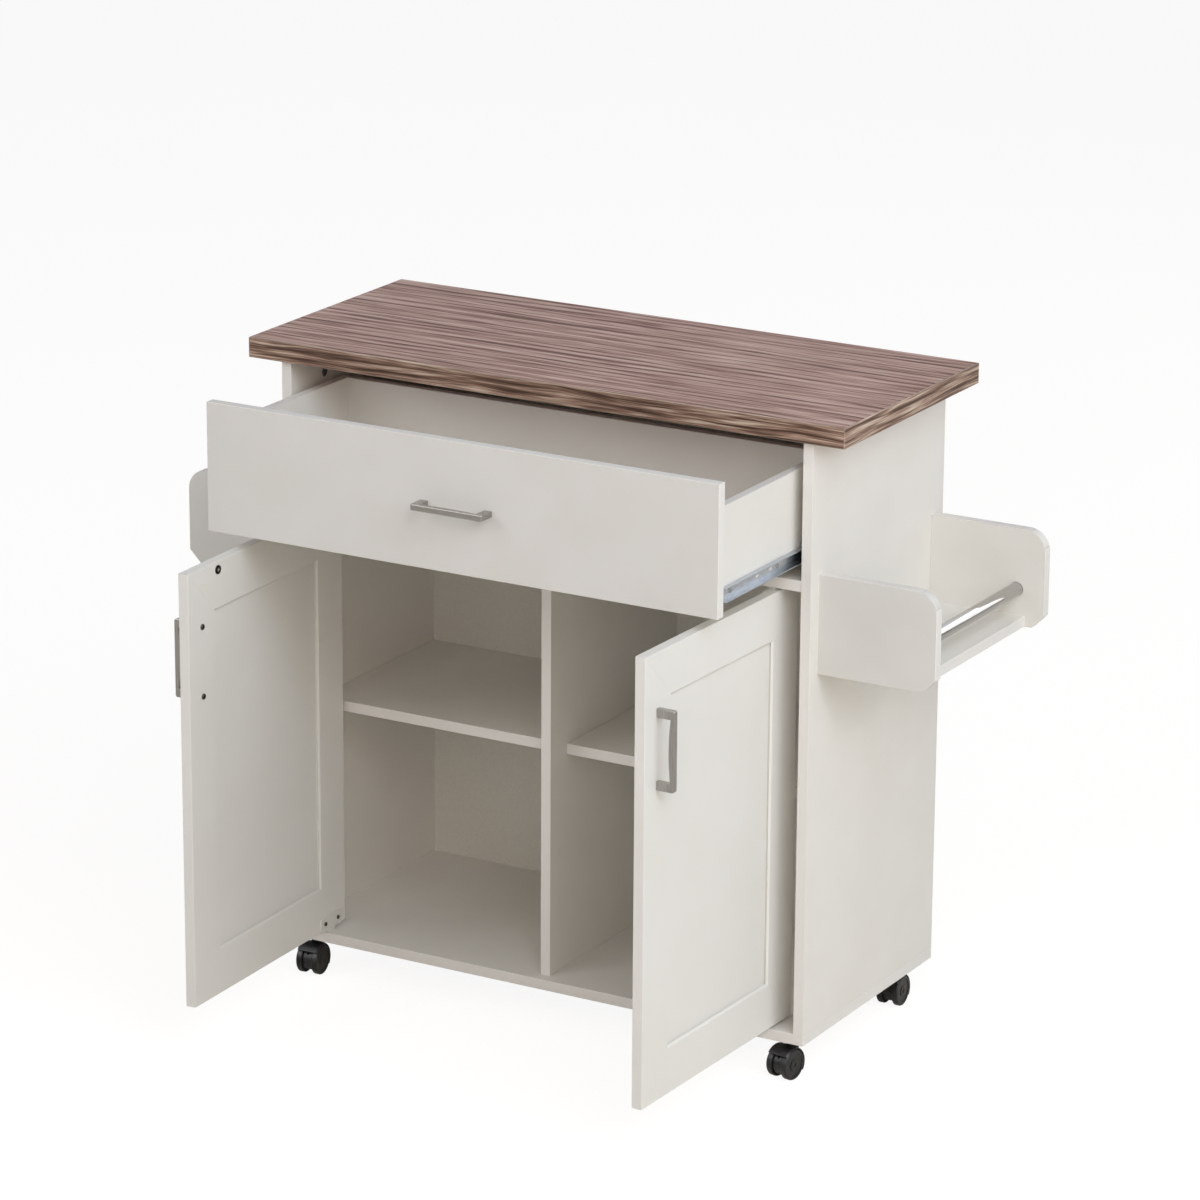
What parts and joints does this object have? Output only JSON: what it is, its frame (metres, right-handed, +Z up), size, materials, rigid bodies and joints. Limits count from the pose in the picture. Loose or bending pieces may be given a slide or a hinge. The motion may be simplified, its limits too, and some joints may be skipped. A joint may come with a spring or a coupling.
{
  "type": "rolling kitchen island",
  "caption": "Rolling kitchen island: laminate worktop over a drawer and a two-door cabinet with shelves, a rack with a towel bar on each side, on swivel casters.",
  "frame": {"origin": "on the floor, in the middle of the outline with the doors and drawer as modelled", "axes": "+X to the right along the front, +Y to the back, +Z up"},
  "size_m": [1.15, 0.7142, 0.909],
  "materials": {
    "faced_board": "melamine, satin",
    "door_foil": "foil, satin",
    "worktop_laminate": "laminate, satin",
    "hardboard": "painted, satin",
    "satin_nickel": "satin",
    "chromed_tube": "polished",
    "zinc_steel": "zinc plated",
    "ball_cage": "oiled",
    "screw_steel": "zinc plated",
    "black_steel": "blackened",
    "cam_zinc": "cast",
    "white_plastic": "moulded",
    "black_nylon": "moulded"
  },
  "bodies": {
    "carcass": {"worktop": "worktop_laminate", "side_panel_left": "faced_board", "side_panel_right": "faced_board", "bottom_board": "faced_board", "drawer_shelf": "faced_board", "divider": "faced_board", "shelf_left": "faced_board", "shelf_right": "faced_board", "back_panel": "hardboard", "rack_left_front": "faced_board", "rack_left_back": "faced_board", "rack_left_tray": "faced_board", "rack_left_bar": "chromed_tube", "rack_right_front": "faced_board", "rack_right_back": "faced_board", "rack_right_tray": "faced_board", "rack_right_bar": "chromed_tube", "slide_channel_left": "zinc_steel", "slide_channel_right": "zinc_steel", "magnetic_catches": "white_plastic", "pivot_bushes": "white_plastic", "shelf_pins": "zinc_steel", "carcass_screws": "screw_steel", "cam_locks": "cam_zinc", "caster_plates": "zinc_steel"},
    "drawer": {"drawer_front": "faced_board", "drawer_side_left": "faced_board", "drawer_side_right": "faced_board", "drawer_back": "faced_board", "drawer_bottom": "hardboard", "drawer_handle": "satin_nickel", "slide_runner_left": "zinc_steel", "slide_runner_right": "zinc_steel", "drawer_screws": "screw_steel"},
    "cage_left": {"slide_cage_left": "ball_cage"},
    "cage_right": {"slide_cage_right": "ball_cage"},
    "door_left": {"door_left_frame": "door_foil", "door_left_panel": "door_foil", "door_left_pivots": "white_plastic", "door_left_handle": "satin_nickel", "door_left_strike": "black_steel", "door_left_screws": "screw_steel"},
    "door_right": {"door_right_frame": "door_foil", "door_right_panel": "door_foil", "door_right_pivots": "white_plastic", "door_right_handle": "satin_nickel", "door_right_strike": "black_steel", "door_right_screws": "screw_steel"},
    "caster_front_left": {"caster_front_left_hood": "black_nylon"},
    "caster_front_left_wheel_left": {"caster_front_left_wheel_left": "black_nylon"},
    "caster_front_left_wheel_right": {"caster_front_left_wheel_right": "black_nylon"},
    "caster_front_right": {"caster_front_right_hood": "black_nylon"},
    "caster_front_right_wheel_left": {"caster_front_right_wheel_left": "black_nylon"},
    "caster_front_right_wheel_right": {"caster_front_right_wheel_right": "black_nylon"},
    "caster_rear_left": {"caster_rear_left_hood": "black_nylon"},
    "caster_rear_left_wheel_left": {"caster_rear_left_wheel_left": "black_nylon"},
    "caster_rear_left_wheel_right": {"caster_rear_left_wheel_right": "black_nylon"},
    "caster_rear_right": {"caster_rear_right_hood": "black_nylon"},
    "caster_rear_right_wheel_left": {"caster_rear_right_wheel_left": "black_nylon"},
    "caster_rear_right_wheel_right": {"caster_rear_right_wheel_right": "black_nylon"}
  },
  "joints": [
    {"name": "drawer_slide", "type": "slide", "parent": "carcass", "child": "drawer", "axis": [0, -1, 0], "range_m": [-0.212, 0.013]},
    {"name": "cage_left_slide", "type": "slide", "parent": "carcass", "child": "cage_left", "axis": [0, -1, 0], "range_m": [-0.106, 0.0065]},
    {"name": "cage_right_slide", "type": "slide", "parent": "carcass", "child": "cage_right", "axis": [0, -1, 0], "range_m": [-0.106, 0.0065]},
    {"name": "door_left_hinge", "type": "hinge", "parent": "carcass", "child": "door_left", "pos_m": [-0.347, -0.01141, 0.0725], "axis": [0, 0, -1], "range_deg": [-88.5, 51.5]},
    {"name": "door_right_hinge", "type": "hinge", "parent": "carcass", "child": "door_right", "pos_m": [0.347, -0.01141, 0.0725], "axis": [0, 0, 1], "range_deg": [-88.5, 51.5]},
    {"name": "caster_front_left_swivel", "type": "hinge", "parent": "carcass", "child": "caster_front_left", "pos_m": [-0.375, 0.00459, 0.021], "axis": [0, 0, 1], "continuous": true},
    {"name": "caster_front_left_wheel_left_spin", "type": "hinge", "parent": "caster_front_left", "child": "caster_front_left_wheel_left", "pos_m": [-0.3738, -0.01036, 0.021], "axis": [0.9968, 0.0802, 0], "continuous": true},
    {"name": "caster_front_left_wheel_right_spin", "type": "hinge", "parent": "caster_front_left", "child": "caster_front_left_wheel_right", "pos_m": [-0.3738, -0.01036, 0.021], "axis": [0.9968, 0.0802, 0], "continuous": true},
    {"name": "caster_front_right_swivel", "type": "hinge", "parent": "carcass", "child": "caster_front_right", "pos_m": [0.375, 0.00459, 0.021], "axis": [0, 0, 1], "continuous": true},
    {"name": "caster_front_right_wheel_left_spin", "type": "hinge", "parent": "caster_front_right", "child": "caster_front_right_wheel_left", "pos_m": [0.37245, -0.01019, 0.021], "axis": [0.9854, -0.1702, 0], "continuous": true},
    {"name": "caster_front_right_wheel_right_spin", "type": "hinge", "parent": "caster_front_right", "child": "caster_front_right_wheel_right", "pos_m": [0.37245, -0.01019, 0.021], "axis": [0.9854, -0.1702, 0], "continuous": true},
    {"name": "caster_rear_left_swivel", "type": "hinge", "parent": "carcass", "child": "caster_rear_left", "pos_m": [-0.375, 0.31509, 0.021], "axis": [0, 0, 1], "continuous": true},
    {"name": "caster_rear_left_wheel_left_spin", "type": "hinge", "parent": "caster_rear_left", "child": "caster_rear_left_wheel_left", "pos_m": [-0.37369, 0.30015, 0.021], "axis": [0.9962, 0.0872, 0], "continuous": true},
    {"name": "caster_rear_left_wheel_right_spin", "type": "hinge", "parent": "caster_rear_left", "child": "caster_rear_left_wheel_right", "pos_m": [-0.37369, 0.30015, 0.021], "axis": [0.9962, 0.0872, 0], "continuous": true},
    {"name": "caster_rear_right_swivel", "type": "hinge", "parent": "carcass", "child": "caster_rear_right", "pos_m": [0.375, 0.31509, 0.021], "axis": [0, 0, 1], "continuous": true},
    {"name": "caster_rear_right_wheel_left_spin", "type": "hinge", "parent": "caster_rear_right", "child": "caster_rear_right_wheel_left", "pos_m": [0.37542, 0.3001, 0.021], "axis": [0.9996, 0.0279, 0], "continuous": true},
    {"name": "caster_rear_right_wheel_right_spin", "type": "hinge", "parent": "caster_rear_right", "child": "caster_rear_right_wheel_right", "pos_m": [0.37542, 0.3001, 0.021], "axis": [0.9996, 0.0279, 0], "continuous": true}
  ],
  "couplings": [
    {"joint": "cage_left_slide", "follows": "drawer_slide", "ratio": 0.5},
    {"joint": "cage_right_slide", "follows": "drawer_slide", "ratio": 0.5}
  ]
}
